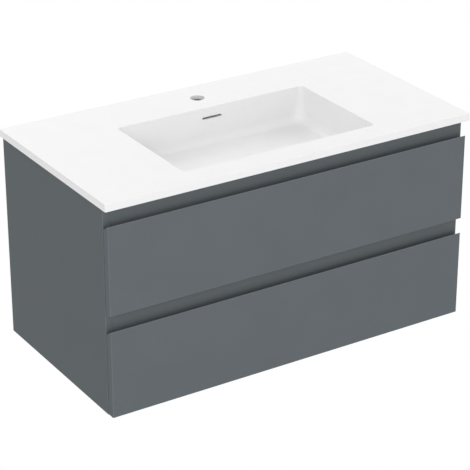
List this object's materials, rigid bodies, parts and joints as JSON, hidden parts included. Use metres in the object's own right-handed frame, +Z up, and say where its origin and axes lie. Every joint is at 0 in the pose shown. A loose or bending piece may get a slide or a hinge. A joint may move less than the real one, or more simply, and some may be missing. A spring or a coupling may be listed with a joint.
{
  "type": "bathroom vanity cabinet",
  "caption": "Wall-hung vanity cabinet with handleless drawers on telescopic runners under a thin slab basin with a rectangular bowl, tap hole, overflow and click-clack waste.",
  "frame": {"origin": "below the middle of the basin slab, on the plane of the carcass underside", "axes": "+Z up, -Y towards the drawer fronts, +X to the right seen from the front"},
  "size_m": [1, 0.515, 0.536],
  "materials": {
    "front_lacquer": "matt anthracite lacquer on MDF",
    "carcass_lacquer": "matt anthracite lacquer on board",
    "drawer_board": "dark grey textured board",
    "profile_metal": "aluminium finished to match the fronts",
    "dowel_beech": "fluted beech",
    "cam_zinc": "die-cast zinc",
    "plated_steel": "zinc-plated steel sheet",
    "fastener_steel": "zinc-plated steel",
    "bumper_silicone": "clear soft silicone",
    "basin_mineral": "matt white mineral cast",
    "chrome_brass": "polished chrome on brass",
    "nut_plastic": "black moulded nylon",
    "seal_rubber": "black rubber",
    "clip_plastic": "grey moulded plastic",
    "roller_nylon": "natural nylon",
    "runner_steel": "zinc-plated rolled steel"
  },
  "bodies": {
    "carcass": {"side_panel_left": "carcass_lacquer", "side_panel_right": "carcass_lacquer", "bottom_panel": "carcass_lacquer", "front_rail": "carcass_lacquer", "back_rail_upper": "carcass_lacquer", "back_rail_lower": "carcass_lacquer", "carcass_dowels": "dowel_beech", "cam_fittings": "cam_zinc", "recess_profile_upper": "profile_metal", "recess_profile_middle": "profile_metal", "profile_brackets": "plated_steel", "bracket_screws": "fastener_steel", "front_bumpers": "bumper_silicone", "hanger_housings": "plated_steel", "hanger_hooks": "plated_steel", "hanger_adjusters": "fastener_steel", "basin": "basin_mineral", "waste_body": "chrome_brass", "waste_top_seal": "seal_rubber", "waste_under_seal": "seal_rubber", "waste_nut": "nut_plastic", "upper_left_cabinet_rail": "runner_steel", "upper_right_cabinet_rail": "runner_steel", "lower_left_cabinet_rail": "runner_steel", "lower_right_cabinet_rail": "runner_steel", "rail_screws": "fastener_steel"},
    "waste_plug": {"waste_plug": "chrome_brass"},
    "upper_drawer": {"upper_front": "front_lacquer", "upper_side_left": "drawer_board", "upper_side_right": "drawer_board", "upper_back_left": "drawer_board", "upper_back_right": "drawer_board", "siphon_wall_left": "drawer_board", "siphon_wall_right": "drawer_board", "siphon_wall_front": "drawer_board", "upper_bottom": "drawer_board", "upper_front_bolts": "fastener_steel", "upper_front_cams": "cam_zinc", "upper_left_drawer_rail": "runner_steel", "upper_right_drawer_rail": "runner_steel", "upper_rail_clips": "clip_plastic"},
    "lower_drawer": {"lower_front": "front_lacquer", "lower_side_left": "drawer_board", "lower_side_right": "drawer_board", "lower_back": "drawer_board", "lower_bottom": "drawer_board", "lower_front_bolts": "fastener_steel", "lower_front_cams": "cam_zinc", "lower_left_drawer_rail": "runner_steel", "lower_right_drawer_rail": "runner_steel", "lower_rail_clips": "clip_plastic"},
    "upper_left_middle": {"upper_left_middle_rail": "runner_steel", "upper_left_rollers": "roller_nylon"},
    "upper_right_middle": {"upper_right_middle_rail": "runner_steel", "upper_right_rollers": "roller_nylon"},
    "lower_left_middle": {"lower_left_middle_rail": "runner_steel", "lower_left_rollers": "roller_nylon"},
    "lower_right_middle": {"lower_right_middle_rail": "runner_steel", "lower_right_rollers": "roller_nylon"}
  },
  "joints": [
    {"name": "upper_drawer_slide", "type": "slide", "parent": "carcass", "child": "upper_drawer", "axis": [0, -1, 0], "range_m": [0, 0.4]},
    {"name": "upper_left_middle_slide", "type": "slide", "parent": "carcass", "child": "upper_left_middle", "axis": [0, -1, 0], "range_m": [0, 0.2]},
    {"name": "upper_right_middle_slide", "type": "slide", "parent": "carcass", "child": "upper_right_middle", "axis": [0, -1, 0], "range_m": [0, 0.2]},
    {"name": "lower_drawer_slide", "type": "slide", "parent": "carcass", "child": "lower_drawer", "axis": [0, -1, 0], "range_m": [0, 0.4]},
    {"name": "lower_left_middle_slide", "type": "slide", "parent": "carcass", "child": "lower_left_middle", "axis": [0, -1, 0], "range_m": [0, 0.2]},
    {"name": "lower_right_middle_slide", "type": "slide", "parent": "carcass", "child": "lower_right_middle", "axis": [0, -1, 0], "range_m": [0, 0.2]},
    {"name": "waste_plug_lift", "type": "slide", "parent": "carcass", "child": "waste_plug", "axis": [0, 0, 1], "range_m": [0, 0.008]}
  ],
  "couplings": [
    {"joint": "upper_left_middle_slide", "follows": "upper_drawer_slide", "ratio": 0.5},
    {"joint": "upper_right_middle_slide", "follows": "upper_drawer_slide", "ratio": 0.5},
    {"joint": "lower_left_middle_slide", "follows": "lower_drawer_slide", "ratio": 0.5},
    {"joint": "lower_right_middle_slide", "follows": "lower_drawer_slide", "ratio": 0.5}
  ]
}
